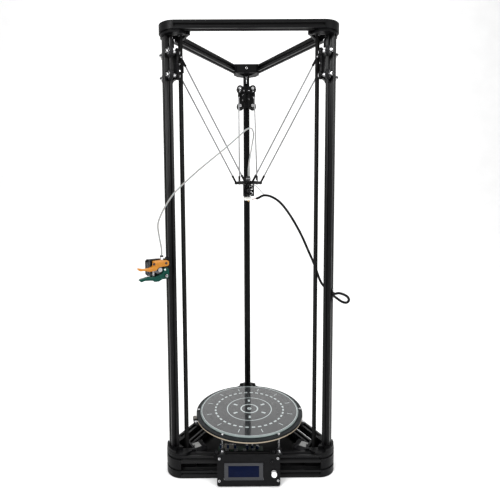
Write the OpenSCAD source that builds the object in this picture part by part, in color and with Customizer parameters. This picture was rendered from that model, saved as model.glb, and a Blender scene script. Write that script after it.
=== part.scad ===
// Delta printer with a tall triangular frame, a round heated bed and a side-mounted filament feeder.
// Millimetres. +Z is up, +Y points from the display to the rear tower. The origin is on the floor,
// under the middle of the bed. The effector is drawn at the top of its travel.

/* [Frame] */
// Distance from the printer's axis to the axis of each tower
tower_r = 232; // [231:0.5:233]
// Height of the towers and of the whole frame
frame_h = 1142; // [1100:1:1160]
// Distance from the printer's axis to the middle of each horizontal beam
beam_r = 137; // [136.8:0.1:137.2]
// Length of each horizontal beam
beam_len = 360; // [340:1:362]
// Underside of the upper base beams
upper_beam_z = 40; // [38:1:42]
// Radius of the rounded nose of each corner casting
nose_r = 44; // [43:0.5:45]
// Height of the base corners
base_corner_h = 72; // [68:1:80]
// Height of the top corners
top_corner_h = 27; // [26:1:30]

/* [Motion] */
// Height of the ball joints on the carriages, at the top of the travel
carriage_joint_z = 1062; // [1040:1:1064]
// Height of the ball joints on the effector, at the top of the travel
effector_joint_z = 762; // [740:1:764]
// Distance from the printer's axis to the ball joints of a carriage
carriage_joint_r = 206; // [205.5:0.5:206.5]
// Distance from the printer's axis to the ball joints of the effector
effector_joint_r = 25; // [24:1:26]
// Spacing of the two rods of an arm
rod_spacing = 50; // [48:1:52]
// Diameter of a rod
rod_d = 4; // [3:0.5:5]
// Radius of a guide wheel at its rim
wheel_r = 11.95; // [11.9:0.05:12]
// Distance from the printer's axis to the middle of each drive belt
belt_r = 197; // [196.5:0.5:197.5]

/* [Bed] */
// Diameter of the glass plate
glass_d = 282; // [260:1:284]
// Thickness of the glass plate
glass_t = 4; // [3:0.5:4]
// Diameter of the heated plate
heater_d = 306; // [300:1:308]
// Thickness of the heated plate and its insulation
heater_t = 8; // [6:1:10]
// Height of the glass plate's upper face
bed_top_z = 108; // [104:1:112]

/* [Display] */
// Width of the display panel
panel_w = 158; // [154:1:162]
// Length of the display panel along its slope
panel_l = 75; // [72:1:78]
// Lean of the display panel away from upright, in degrees
panel_lean = 10; // [8:1:12]

/* [Feeder] */
// Height of the middle of the feeder's motor
feed_z = 546; // [530:1:560]
// Distance from the left tower's axis to the feeder motor's axis
feed_out = 38; // [37.5:0.5:38.5]

/* [Hidden] */

$fn = 48;

// Directions of the towers and of the beams' middles, seen from the printer's axis
left_az = 210;
right_az = 330;
rear_az = 90;
front_side = 270;
left_side = 150;
right_side = 30;

// Aluminium profile: a 20 mm square with a V-mouthed slot in each face
profile_w = 20;
slot_mouth = 4.6;
slot_half = 3;
slot_lip = 2;
slot_wide = 5.6;
slot_deep = 6;
core_r = 2.1;

// Drive: belt, pulleys and their shafts
belt_w = 6;
belt_t = 1.4;
pulley_tip_r = 6.1;
belt_gap = 0.3;
flange_r = 9;
pulley_teeth = 20;
motor_w = 42.3;
motor_len = 40;
motor_z = 30;
motor_hole = 31;
shaft_r = 2.5;
shaft_fit = 0.05;
idler_z = frame_h - top_corner_h / 2;
idler_pin_r = 1.5;

// Corner castings, in the frame of the tower: x outwards, y along the tangent
nose_x = -26.2;
arm_in = 4.7;
arm_out = 10.6;
arm_end = 58;
beam_from = 20.7;
plate_x = -46;
plate_t = 5;
tower_gap = 0.15;

// Carriages
axle_y = 20.5;
axle_z = 27.5;
axle_r = 2.5;
carriage_z = carriage_joint_z - 16;
plate_in = -21;
plate_out = -15;
wheel_w = 10.2;
rim_w = 5.2;
ball_r = 2.6;
cup_gap = 0.35;

// Effector and hot end
effector_t = 8;
nozzle_z = 710;
fan_w = 30;

// The sheet that closes the base; its corners are cut off in front of the motors' mounts
sheet_z = 2;
sheet_t = 3;
sheet_corner = 184;

// Display
panel_t = 3;
panel_pos = [-6.6, -174.6, 39.2];
panel_hole = [73.5, 26.5];
panel_hole_up = 3;
bezel_pos = [-12.4, -2.4];
bezel = [98, 41];
knob_pos = [63.2, -5.2];
knob_r = 7;

// Feeder, in the frame of the left tower: x outwards, y towards the display
lever_y = 15.3;
lever_t = 12;
gear_r = 5.3;
bearing_r = 5;
bearing_w = 4;
bearing_pos = [26, feed_z];
filament_x = 32;
feed_top = feed_z + 35;
pivot = [feed_out - motor_hole / 2, feed_z - motor_hole / 2];
pivot_r = 3;

// Cords
tube_d = 4;
bowden_route = [
    [-218, -150.5, 581], [-218, -150.5, 598], [-223, -152, 630], [-224.5, -154.5, 658], [-214, -156.8, 686],
    [-198, -157.5, 713], [-178, -156, 739], [-137, -147, 778], [-109, -136, 803], [-61, -110, 845],
    [-27, -82, 878], [-5, -50, 901], [9, -18, 908], [15, 8, 896], [12, 16, 874], [6, 11, 840],
    [1, 3, 806], [0, 0, 780.3],
];
harness_d = 6.8;
harness_route = [
    [9.1, 0, 716], [25, -1, 719], [44, -5, 727], [66, -10, 722], [88, -18, 706], [108, -28, 680],
    [127, -38, 648], [143, -48, 616], [159, -56, 578], [174, -63, 542], [190.5, -68.5, 496.3],
    [206.6, -74.5, 476.7], [221.3, -81, 461.9], [232.7, -87, 453.1], [242.8, -94.5, 447.2],
    [251.6, -104, 447.7], [254.9, -113.5, 457], [248.9, -120, 467.3], [237.6, -124, 474.3],
    [225.7, -125.5, 477.8], [216.1, -124.8, 476], [209.7, -121.1, 475],
];

module at_tower(az) {
    rotate([0, 0, az]) translate([tower_r, 0, 0]) children();
}

// x points away from the printer's axis, y along the beam
module at_side(az) {
    rotate([0, 0, az]) translate([beam_r, 0, 0]) children();
}

// Turns z to point outwards along x
module outward() {
    rotate([0, 90, 0]) children();
}

// Turns z to point along y
module sideways() {
    rotate([-90, 0, 0]) children();
}

module profile_2d() {
    h = profile_w / 2;
    difference() {
        square(profile_w, center = true);
        for (a = [0:90:270])
            rotate(a) polygon([
                [-slot_mouth, h + 0.1], [-slot_mouth, h], [-slot_half, h - slot_mouth + slot_half],
                [-slot_half, h - slot_lip], [-slot_wide, h - slot_lip], [-slot_wide, h - slot_lip - 1.4],
                [-2.8, h - slot_deep], [2.8, h - slot_deep], [slot_wide, h - slot_lip - 1.4],
                [slot_wide, h - slot_lip], [slot_half, h - slot_lip],
                [slot_half, h - slot_mouth + slot_half], [slot_mouth, h], [slot_mouth, h + 0.1],
            ]);
        circle(core_r, $fn = 24);
    }
}

module tower(az) {
    color("dimgray") at_tower(az) linear_extrude(frame_h) profile_2d();
}

module beam(az, z) {
    color("dimgray") at_side(az) translate([0, 0, z + profile_w / 2])
        rotate([90, 0, 0]) linear_extrude(beam_len, center = true) profile_2d();
}

module base_beams(az) {
    beam(az, 0);
    beam(az, upper_beam_z);
}

// Plan frame of one arm of a corner: x along the beam, y outwards
module along_arm(side) {
    if (side > 0) rotate(150) mirror([0, 1]) children();
    else rotate(210) children();
}

module arm_2d(to, out) {
    for (side = [-1, 1])
        along_arm(side) translate([8, arm_in]) square([to - 8, out - arm_in]);
}

module nose_2d(r) {
    intersection() {
        translate([nose_x, 0]) circle(r, $fn = 96);
        translate([-16, -r]) square([60, 2 * r]);
    }
}

module beam_room_2d() {
    for (side = [-1, 1])
        along_arm(side) translate([beam_from, arm_out]) square([90, 60]);
}

module pocket_2d() {
    polygon([[-13, -13], [-13, 13], [plate_x + plate_t, 29.1], [plate_x + plate_t, -29.1]]);
}

module corner_2d(r) {
    difference() {
        union() {
            nose_2d(r);
            arm_2d(arm_end, arm_out);
            translate([plate_x, -31]) square([plate_t, 62]);
        }
        pocket_2d();
        square(profile_w + 2 * tower_gap, center = true);
    }
}

// A corner at beam height, open where the beams lie
module corner_ring(r) {
    difference() {
        corner_2d(r);
        beam_room_2d();
    }
}

// A corner above or below the beams, with shelves that the beams rest against
module corner_shelf(r) {
    difference() {
        union() {
            corner_2d(r);
            for (side = [-1, 1])
                along_arm(side) polygon([
                    [8, arm_in], [8, arm_out + 17], [34, arm_out + 17], [47.5, arm_out + 4], [47.5, arm_in],
                ]);
        }
        pocket_2d();
        square(profile_w + 2 * tower_gap, center = true);
    }
}

module motor_holes() {
    translate([plate_x - 1, 0, motor_z]) outward() {
        cylinder(r = 11.2, h = plate_t + 2);
        for (y = [-1, 1], z = [-1, 1])
            translate([z * motor_hole / 2, y * motor_hole / 2, 0]) cylinder(r = 1.6, h = plate_t + 2);
    }
}

module base_corner(az) {
    top = upper_beam_z + profile_w;
    color("black") at_tower(az) difference() {
        union() {
            linear_extrude(19) corner_ring(nose_r);
            translate([0, 0, 19]) linear_extrude(5) corner_ring(nose_r - 2.5);
            translate([0, 0, 24]) linear_extrude(25) corner_ring(nose_r);
            translate([0, 0, 49]) linear_extrude(5) corner_ring(nose_r - 2.5);
            translate([0, 0, 54]) linear_extrude(top - 54) corner_ring(nose_r);
            translate([0, 0, top]) linear_extrude(5) corner_shelf(nose_r - 0.5);
            translate([0, 0, top + 5]) linear_extrude(base_corner_h - top - 5) difference() {
                nose_2d(nose_r - 1);
                square(profile_w + 2 * tower_gap, center = true);
                along_arm(1) translate([8, arm_out]) square([60, 60]);
                along_arm(-1) translate([8, arm_out]) square([60, 60]);
                pocket_2d();
            }
        }
        motor_holes();
    }
}

module top_corner(az) {
    color("black") at_tower(az) {
        translate([0, 0, frame_h - profile_w]) linear_extrude(profile_w) corner_ring(nose_r);
        translate([0, 0, frame_h - top_corner_h]) linear_extrude(top_corner_h - profile_w)
            corner_shelf(nose_r - 4);
        translate([plate_x - 3, 0, idler_z]) outward() {
            cylinder(r = 3, h = 3.5);
            cylinder(r = idler_pin_r, h = belt_r - tower_r - plate_x + 9);
        }
        translate([plate_x + plate_t, 0, idler_z]) outward() cylinder(r = 3, h = 0.9);
    }
}

// A motor with its shaft bore along +z and its front face on z = 0
module motor_case() {
    difference() {
        translate([0, 0, -motor_len / 2]) difference() {
            cube([motor_w, motor_w, motor_len], center = true);
            for (a = [45:90:315])
                rotate(a) translate([motor_w / 2 + 10.2, 0, 0])
                    cube([8, 20, motor_len + 1], center = true);
        }
        translate([0, 0, -20]) cylinder(r = shaft_r + shaft_fit, h = 21);
    }
    difference() {
        translate([0, 0, -0.1]) cylinder(r = 11, h = 2.1);
        translate([0, 0, -1]) cylinder(r = shaft_r + shaft_fit, h = 4);
    }
}

module stepper_motors() {
    color("#222222") {
        for (az = [left_az, right_az, rear_az])
            at_tower(az) translate([plate_x, 0, motor_z]) outward() motor_case();
        at_tower(left_az) translate([feed_out, 12, feed_z]) sideways() motor_case();
    }
}

module belt_outline(r) {
    for (z = [motor_z, idler_z]) translate([-z, 0]) circle(r);
    translate([-idler_z, -r]) square([idler_z - motor_z, 2 * r]);
}

module drive_belts() {
    r = pulley_tip_r + belt_gap;
    color("#111111") for (az = [left_az, right_az, rear_az])
        at_tower(az) translate([belt_r - tower_r - belt_w / 2, 0, 0]) outward()
            linear_extrude(belt_w) difference() {
                belt_outline(r + belt_t);
                belt_outline(r);
            }
}

module toothed_2d() {
    difference() {
        circle(pulley_tip_r);
        for (i = [0:pulley_teeth - 1])
            rotate(i * 360 / pulley_teeth) translate([pulley_tip_r, 0]) circle(0.55, $fn = 16);
    }
}

// Origin at the middle of the belt, z outwards
module pulley_body(hub) {
    translate([0, 0, -4]) linear_extrude(8) toothed_2d();
    translate([0, 0, 3.8]) cylinder(r = flange_r, h = 1);
    translate([0, 0, -4.8]) cylinder(r = flange_r, h = 1);
    translate([0, 0, 4]) cylinder(r = 7.5, h = hub);
}

module motor_pulley(az) {
    color("silver") at_tower(az) translate([belt_r - tower_r, 0, motor_z]) outward() {
        pulley_body(6);
        translate([0, 0, plate_x - belt_r + tower_r - 18]) cylinder(r = shaft_r, h = 42);
    }
}

module idler_pulley(az) {
    color("silver") at_tower(az) translate([belt_r - tower_r, 0, idler_z]) outward()
        difference() {
            pulley_body(1);
            translate([0, 0, -6]) cylinder(r = idler_pin_r + shaft_fit, h = 14);
        }
}

module endstop_switches() {
    color("#1c1c1c") for (az = [left_az, right_az, rear_az])
        at_tower(az) {
            translate([-16.5, -6, 1091]) cube([6.5, 12, 20]);
            translate([-17.5, -4, 1088]) cube([2, 8, 22]);
            translate([-19.5, 0, 1105.5]) outward() cylinder(r = 3, h = 4);
        }
}

// Carriage parts are drawn with the plate's middle at z = 0
module carriage_2d() {
    difference() {
        union() {
            square([68, 48], center = true);
            for (y = [-1, 1], z = [-1, 1]) translate([z * axle_z, y * axle_y]) circle(10.5);
        }
        for (y = [-1, 1]) translate([0, y * 33]) circle(11);
    }
}

module carriage_axle() {
    cylinder(r = 4.5, h = 3.4);
    cylinder(r = axle_r, h = 36.5);
    translate([0, 0, 9.3]) cylinder(r = 4, h = 9.7);
    translate([0, 0, 30.1]) cylinder(r = 4.6, h = 5, $fn = 6);
}

module carriage(az) {
    joint_x = carriage_joint_r - tower_r;
    color("#181818") at_tower(az) translate([0, 0, carriage_z]) {
        translate([plate_in, 0, 0]) outward() linear_extrude(plate_out - plate_in) carriage_2d();
        for (y = [-axle_y, axle_y], z = [-axle_z, axle_z])
            translate([plate_in - 3.4, y, z]) outward() carriage_axle();
        translate([-30.5, -20, carriage_joint_z - carriage_z - 5]) cube([10, 40, 10]);
        for (y = [-1, 1]) translate([joint_x, 0, carriage_joint_z - carriage_z]) {
            rotate([-90 * y, 0, 0]) translate([0, 0, 19]) cylinder(r = 1.5, h = rod_spacing / 2 - 19 + 4);
            translate([0, y * rod_spacing / 2, 0]) sphere(ball_r);
        }
        translate([-39, 2.6, -16]) cube([18.5, 3.4, 24]);
        translate([-39, 8.4, -16]) cube([18.5, 3.4, 24]);
        translate([-22, -3, -16]) cube([1.5, 15, 24]);
    }
}

// Numbered 1 to 4: lower and upper on the -y side, then lower and upper on the +y side
module wheel(az, n) {
    y = n < 3 ? -axle_y : axle_y;
    z = n % 2 == 1 ? -axle_z : axle_z;
    tyre = (wheel_w - rim_w) / 2;
    color("#303030") at_tower(az) translate([0, y, carriage_z + z]) outward() rotate_extrude()
        polygon([
            [axle_r + 0.06, -wheel_w / 2], [wheel_r - tyre, -wheel_w / 2], [wheel_r, -rim_w / 2],
            [wheel_r, rim_w / 2], [wheel_r - tyre, wheel_w / 2], [axle_r + 0.06, wheel_w / 2],
        ]);
}

// Children are drawn with the effector joints of one arm on x = effector_joint_r
module each_arm() {
    for (az = [left_az, right_az, rear_az]) rotate([0, 0, az]) children();
}

module effector_plate() {
    color("#181818") difference() {
        union() {
            translate([0, 0, effector_joint_z - effector_t / 2]) cylinder(r = 27, h = effector_t);
            each_arm() {
                translate([14, -20, effector_joint_z - effector_t / 2]) cube([15, 40, effector_t]);
                for (y = [-1, 1]) translate([effector_joint_r, 0, effector_joint_z]) {
                    rotate([-90 * y, 0, 0]) translate([0, 0, 19])
                        cylinder(r = 1.5, h = rod_spacing / 2 - 19 + 4);
                    translate([0, y * rod_spacing / 2, 0]) sphere(ball_r);
                }
            }
        }
        translate([0, 0, effector_joint_z - 10]) cylinder(r = 8, h = 20);
    }
}

// A rod's end: a cup around the ball and a shank along +z
module rod_end() {
    difference() {
        union() {
            rotate([90, 0, 0]) cylinder(r = 4.4, h = 4.6, center = true);
            translate([0, 0, 3.5]) cylinder(r = 3, h = 20);
        }
        sphere(ball_r + cup_gap);
        rotate([90, 0, 0]) cylinder(r = 2, h = 12, center = true);
    }
}

module arms() {
    run = carriage_joint_r - effector_joint_r;
    rise = carriage_joint_z - effector_joint_z;
    reach = sqrt(run * run + rise * rise);
    color("silver") each_arm() for (y = [-1, 1])
        translate([effector_joint_r, y * rod_spacing / 2, effector_joint_z])
            rotate([0, atan2(run, rise), 0]) {
                rod_end();
                translate([0, 0, 20]) cylinder(r = rod_d / 2, h = reach - 40);
                translate([0, 0, reach]) mirror([0, 0, 1]) rod_end();
            }
}

module heat_sink() {
    top = effector_joint_z + 6;
    color("silver") {
        translate([0, 0, 724]) cylinder(r = 3, h = 32);
        for (z = [728:3.5:752]) translate([0, 0, z]) cylinder(r = 11, h = 1.4);
        translate([0, 0, 752]) cylinder(r = 7.9, h = top - 752);
        translate([0, 0, top]) cylinder(r = 5.5, h = 12);
    }
}

module heater_block() {
    color("white") {
        translate([-11.5, -8, nozzle_z + 3.5]) cube([20, 16, 10]);
        translate([0, 0, nozzle_z]) cylinder(r1 = 0.8, r2 = 3, h = 3.6, $fn = 32);
    }
}

module fan_frame() {
    color("black") translate([0, 0, 740]) {
        difference() {
            translate([-fan_w / 2, -27, -fan_w / 2]) cube([fan_w, 10, fan_w]);
            translate([0, -28, 0]) sideways() cylinder(r = 14, h = 12);
        }
        difference() {
            union() {
                translate([0, -20.5, 0]) sideways() cylinder(r = 6, h = 1.5);
                for (a = [45:90:315])
                    rotate([0, a, 0]) translate([5.5, -20.5, -1]) cube([9, 1.5, 2]);
            }
            translate([0, -21, 0]) sideways() cylinder(r = 1 + shaft_fit, h = 3, $fn = 24);
        }
        for (x = [-1, 1]) translate([x * 13.4 - 1.6, -17.2, -fan_w / 2]) cube([3.2, 24, 33]);
    }
}

module fan_rotor() {
    color("#101010") translate([0, -26.5, 740]) sideways() {
        cylinder(r = 6.5, h = 5.5);
        cylinder(r = 1, h = 7.3, $fn = 24);
        for (a = [0:360 / 7:359])
            rotate(a) translate([9, 0, 2.7]) rotate([35, 0, 0]) cube([8.4, 5, 1], center = true);
    }
}

module bed_glass() {
    color("powderblue", 0.6) translate([0, 0, bed_top_z - glass_t]) cylinder(d = glass_d, h = glass_t, $fn = 120);
}

module at_bed_mounts() {
    for (az = [0:60:300]) rotate([0, 0, az]) translate([147, 0, 0]) children();
}

module bed_heater() {
    top = bed_top_z - glass_t;
    color("#151515") difference() {
        union() {
            translate([0, 0, top - heater_t]) cylinder(d = heater_d, h = heater_t, $fn = 120);
            rotate([0, 0, 195]) translate([148, -9, top - 4]) cube([16, 18, 3]);
        }
        at_bed_mounts() translate([0, 0, top - 10]) cylinder(r = 1.65, h = 12);
    }
}

module bed_mounts() {
    top = bed_top_z - glass_t;
    shelf = upper_beam_z + profile_w;
    color("silver") {
        at_bed_mounts() {
            translate([0, 0, shelf + 2.5]) cylinder(r = 2.5, h = top - heater_t - shelf - 2.5);
            translate([0, 0, shelf + 3]) cylinder(r = 1.5, h = top - shelf - 2);
            translate([0, 0, top]) cylinder(r = 2.8, h = 2.2);
        }
        for (az = [right_side, left_side, front_side], y = [-73.5, 73.5])
            at_side(az) translate([0, y, shelf]) {
                translate([-17, -7, 0]) cube([24, 14, 3]);
                translate([1, 0, 3]) cylinder(r = 4, h = 2.6);
            }
    }
}

// The control board on the sheet that closes the base, between the lower beams
module controller_board() {
    z = 24;
    color("darkgreen") {
        translate([-88, -112, z]) cube([124, 62, 1.6]);
        translate([-84, -66, z + 1.5]) cube([46, 12, 10.1]);
        translate([-84, -110, z + 1.5]) cube([60, 9, 9.1]);
        for (x = [-70, -46, -22, 2]) translate([x, -92, z + 1.5]) cube([14, 18, 11.1]);
        translate([12, -100, z + 1.5]) cube([20, 20, 5.1]);
    }
    color("#181818") {
        translate([0, 0, sheet_z]) linear_extrude(sheet_t) intersection() {
            rotate(90) circle(r = 2 * (beam_r - profile_w / 2 - 0.1), $fn = 3);
            rotate(-90) circle(r = 2 * sheet_corner, $fn = 3);
        }
        for (x = [-76, 24], y = [-106, -56])
            translate([x, y, sheet_z + sheet_t - 0.1]) cylinder(r = 2.5, h = z - sheet_z - sheet_t + 0.2);
    }
}

// x along the panel's width, y up its slope, z out of its front face
module at_panel() {
    translate(panel_pos) rotate([90 - panel_lean, 0, 0]) children();
}

module rounded_2d(w, l, r) {
    square([w - 2 * r, l], center = true);
    square([w, l - 2 * r], center = true);
    for (x = [-1, 1], y = [-1, 1]) translate([x * (w / 2 - r), y * (l / 2 - r)]) circle(r);
}

module display_panel() {
    shelf = upper_beam_z + profile_w;
    color("#121212") {
        at_panel() difference() {
            translate([0, 0, -panel_t]) linear_extrude(panel_t) difference() {
                rounded_2d(panel_w, panel_l, 5);
                translate(bezel_pos) square([bezel[0] + 1, bezel[1] + 1], center = true);
                translate(knob_pos) circle(4.5);
                translate([60, 21]) circle(6);
            }
        }
        for (x = [-1, 1]) {
            at_panel() {
                translate([x * panel_hole[0], panel_hole_up + panel_hole[1], 0]) cylinder(r = 2.8, h = 1.8);
                translate([x * panel_hole[0], panel_hole_up - panel_hole[1], 0]) cylinder(r = 2.8, h = 1.8);
                translate([x * panel_hole[0], panel_hole_up + panel_hole[1], -7]) cylinder(r = 3, h = 6);
            }
            translate([panel_pos[0] + x * panel_hole[0], 0, 0]) {
                translate([-15, -158, shelf]) cube([14, 30, 2.5]);
                translate([-4.8, -167.5, shelf]) cube([11.8, 17.5, 2.5]);
                translate([-4.8, -167.5, shelf]) cube([11.8, 2.5, 11]);
                translate([0, -178, 15.5]) sideways() cylinder(r = 3.5, h = 31);
                translate([-8, -138, shelf + 2.5]) cylinder(r = 4, h = 2.4);
            }
        }
    }
}

module display_module() {
    color("lightslategray") at_panel() {
        translate([bezel_pos[0], bezel_pos[1], 0]) {
            translate([0, 0, -7]) linear_extrude(8.5) square(bezel, center = true);
            translate([0, 0, -8.5]) linear_extrude(1.6) square([98, 60], center = true);
        }
        translate([42, -30, -8.5]) cube([26, 60, 1.6]);
        for (x = [-46.5, 46.5], y = [-27.5, 27.5])
            translate([bezel_pos[0] + x, bezel_pos[1] + y, -7]) cylinder(r = 2.5, h = 7 - panel_t);
        translate([36, -24, -8.5]) cube([8, 50, 1.6]);
        translate([60, 21, -7]) cylinder(r = 5.5, h = 8.5);
        translate([knob_pos[0], knob_pos[1], -7]) difference() {
            union() {
                translate([-6, -6, 0]) cube([12, 12, 3.6]);
                cylinder(r = 3.9, h = 8);
            }
            translate([0, 0, 1]) cylinder(r = 3.05, h = 8);
        }
    }
}

module encoder_shaft() {
    color("silver") at_panel() translate([knob_pos[0], knob_pos[1], -5.2]) cylinder(r = 3, h = 17);
}

module menu_knob() {
    color("gainsboro") at_panel() translate([knob_pos[0], knob_pos[1], 2.4]) difference() {
        union() {
            cylinder(r = knob_r, h = 9);
            translate([0, 0, 9]) cylinder(r1 = knob_r, r2 = knob_r - 2, h = 2);
        }
        translate([0, 0, -1]) cylinder(r = 3.05, h = 10.6);
    }
}

// Feeder outlines are drawn in the plane of the levers: x outwards, y up
module feed_plane(y) {
    at_tower(left_az) translate([0, y, 0]) rotate([90, 0, 0]) mirror([0, 0, 1]) children();
}

module feed_bracket() {
    color("black") at_tower(left_az) difference() {
        union() {
            translate([10, -9, feed_z - 26]) cube([3, 24, 52]);
            translate([10, 12, feed_z - 26]) cube([feed_out + motor_w / 2 - 10, 3, 52]);
        }
        translate([feed_out, 11, feed_z]) sideways() {
            cylinder(r = 11.3, h = 5);
            for (x = [-1, 1], z = [-1, 1])
                translate([x * motor_hole / 2, z * motor_hole / 2, 0]) cylinder(r = 1.6, h = 5);
        }
    }
    color("silver") feed_plane(14) translate([pivot[0], pivot[1], 0]) {
        cylinder(r = pivot_r, h = 14.3);
        translate([0, 0, 13.6]) cylinder(r = 4.4, h = 2.4);
    }
}

module feed_body() {
    screw_z = feed_z + motor_hole / 2;
    color("darkorange") difference() {
        feed_plane(15) linear_extrude(lever_t) difference() {
            translate([0, feed_z - 546]) polygon([
                [15, 557], [15, 565], [18, 568], [36, 569.5], [53, 568.5], [60, 567.5], [63, 561],
                [67, 556], [74, 552], [80, 551.5], [91, 554], [92.5, 552.5], [91, 549], [87, 547],
                [75, 547], [65, 544], [48, 545], [44, 550], [38, 553.5], [20, 554],
            ]);
            for (x = [-1, 1]) translate([feed_out + x * motor_hole / 2, screw_z]) circle(1.7, $fn = 24);
        }
        filament_line() translate([0, 0, feed_z]) cylinder(r = 1.1, h = 30, $fn = 24);
    }
    color("silver") filament_line() {
        translate([0, 0, feed_z + 20]) cylinder(r = 4, h = 11);
        translate([0, 0, feed_z + 31]) cylinder(r = 4.6, h = feed_top - feed_z - 31);
    }
}

module filament_line() {
    at_tower(left_az) translate([filament_x, lever_y + lever_t / 2, 0]) children();
}

module feed_lever() {
    color("#06604c") {
        difference() {
            feed_plane(lever_y) linear_extrude(lever_t) difference() {
                translate([0, feed_z - 546]) polygon([
                    [15.5, 529], [15.5, 546], [18.5, 550], [26.5, 550.5], [30.5, 547], [29, 541],
                    [33.5, 536], [40, 532.5], [47, 530.5], [57, 530], [68, 531.5], [76, 529.5],
                    [87, 527.5], [90, 524], [85, 520], [78, 523], [57, 521.5], [54, 518.5],
                    [42, 517.5], [38, 520.3], [28, 524], [18, 524],
                ]);
                translate(pivot) circle(pivot_r + shaft_fit);
            }
            feed_plane(lever_y + lever_t / 2) translate([bearing_pos[0], bearing_pos[1], 0])
                cylinder(r = bearing_r + 0.8, h = bearing_w + 0.8, center = true);
            filament_line() translate([0, 0, feed_z - 40]) cylinder(r = 2, h = 40, $fn = 24);
        }
        feed_plane(lever_y + 1) translate([bearing_pos[0], bearing_pos[1], 0])
            cylinder(r = 1.5, h = lever_t - 2);
    }
}

module pinch_bearing() {
    color("silver") feed_plane(lever_y + lever_t / 2) translate([bearing_pos[0], bearing_pos[1], 0])
        difference() {
            cylinder(r = bearing_r, h = bearing_w, center = true);
            cylinder(r = 1.5 + shaft_fit, h = bearing_w + 1, center = true);
        }
}

module drive_gear() {
    color("gold") feed_plane(0) translate([feed_out, feed_z, 0]) {
        translate([0, 0, 16]) linear_extrude(11) difference() {
            circle(gear_r);
            for (i = [0:23]) rotate(i * 15) translate([gear_r, 0]) circle(0.4, $fn = 16);
        }
        translate([0, 0, -6]) cylinder(r = shaft_r, h = 34);
    }
}

// Cords: rings swept along a route that runs smoothly through hand-placed points
function unit(v) = v / norm(v);
function between(p0, p1, p2, p3, t) =
    0.5 * (2 * p1 + (p2 - p0) * t + (2 * p0 - 5 * p1 + 4 * p2 - p3) * t * t
    + (3 * p1 - p0 - 3 * p2 + p3) * t * t * t);
function smooth_route(p) = [
    for (i = [0:len(p) - 2]) for (t = [0, 0.5])
        between(p[max(i - 1, 0)], p[i], p[i + 1], p[min(i + 2, len(p) - 1)], t),
    p[len(p) - 1],
];
function headings(p) = [
    for (i = [0:len(p) - 1]) unit(p[min(i + 1, len(p) - 1)] - p[max(i - 1, 0)])
];
function carried(n, h) = unit(n - (n * h) * h);
function normals(h, first) = [
    for (i = 0, n = carried(first, h[0]); i < len(h); i = i + 1, n = i < len(h) ? carried(n, h[i]) : n) n
];

module swept_tube(route, d, sides) {
    p = smooth_route(route);
    h = headings(p);
    n = normals(h, [0, 1, 0.1]);
    last = len(p) - 1;
    points = [
        for (i = [0:last]) for (k = [0:sides - 1])
            p[i] + d / 2 * (cos(k * 360 / sides) * n[i] + sin(k * 360 / sides) * cross(h[i], n[i]))
    ];
    walls = [
        for (i = [0:last - 1]) for (k = [0:sides - 1])
            [i * sides + k, i * sides + (k + 1) % sides, (i + 1) * sides + (k + 1) % sides, (i + 1) * sides + k]
    ];
    start = [[for (k = [sides - 1:-1:0]) k]];
    finish = [[for (k = [0:sides - 1]) last * sides + k]];
    polyhedron(points, [for (f = concat(walls, start, finish)) [for (k = [len(f) - 1:-1:0]) f[k]]]);
}

module bowden_tube() {
    color("white") swept_tube(bowden_route, tube_d, 8);
}

module hotend_harness() {
    color("#151515") swept_tube(harness_route, harness_d, 8);
}

tower(left_az);  // tower_left
tower(right_az);  // tower_right
tower(rear_az);  // tower_rear
beam(front_side, frame_h - profile_w);  // top_beam_front
beam(left_side, frame_h - profile_w);  // top_beam_left
beam(right_side, frame_h - profile_w);  // top_beam_right
base_beams(front_side);  // base_beams_front
base_beams(left_side);  // base_beams_left
base_beams(right_side);  // base_beams_right
top_corner(left_az);  // top_corner_left
top_corner(right_az);  // top_corner_right
top_corner(rear_az);  // top_corner_rear
base_corner(left_az);  // base_corner_left
base_corner(right_az);  // base_corner_right
base_corner(rear_az);  // base_corner_rear
stepper_motors();
drive_belts();
endstop_switches();
bed_glass();
bed_heater();
bed_mounts();
controller_board();
display_panel();
display_module();
feed_bracket();
feed_body();
bowden_tube();
hotend_harness();
motor_pulley(left_az);  // motor_pulley_left
motor_pulley(right_az);  // motor_pulley_right
motor_pulley(rear_az);  // motor_pulley_rear
idler_pulley(left_az);  // idler_pulley_left
idler_pulley(right_az);  // idler_pulley_right
idler_pulley(rear_az);  // idler_pulley_rear
carriage(left_az);  // carriage_left
carriage(right_az);  // carriage_right
carriage(rear_az);  // carriage_rear
wheel(left_az, 1);  // wheel_left_1
wheel(left_az, 2);  // wheel_left_2
wheel(left_az, 3);  // wheel_left_3
wheel(left_az, 4);  // wheel_left_4
wheel(right_az, 1);  // wheel_right_1
wheel(right_az, 2);  // wheel_right_2
wheel(right_az, 3);  // wheel_right_3
wheel(right_az, 4);  // wheel_right_4
wheel(rear_az, 1);  // wheel_rear_1
wheel(rear_az, 2);  // wheel_rear_2
wheel(rear_az, 3);  // wheel_rear_3
wheel(rear_az, 4);  // wheel_rear_4
effector_plate();
arms();
heat_sink();
heater_block();
fan_frame();
fan_rotor();
encoder_shaft();
menu_knob();
feed_lever();
drive_gear();
pinch_bearing();
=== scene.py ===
import math

import bmesh
import bpy
from mathutils import Matrix, Vector, noise


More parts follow.
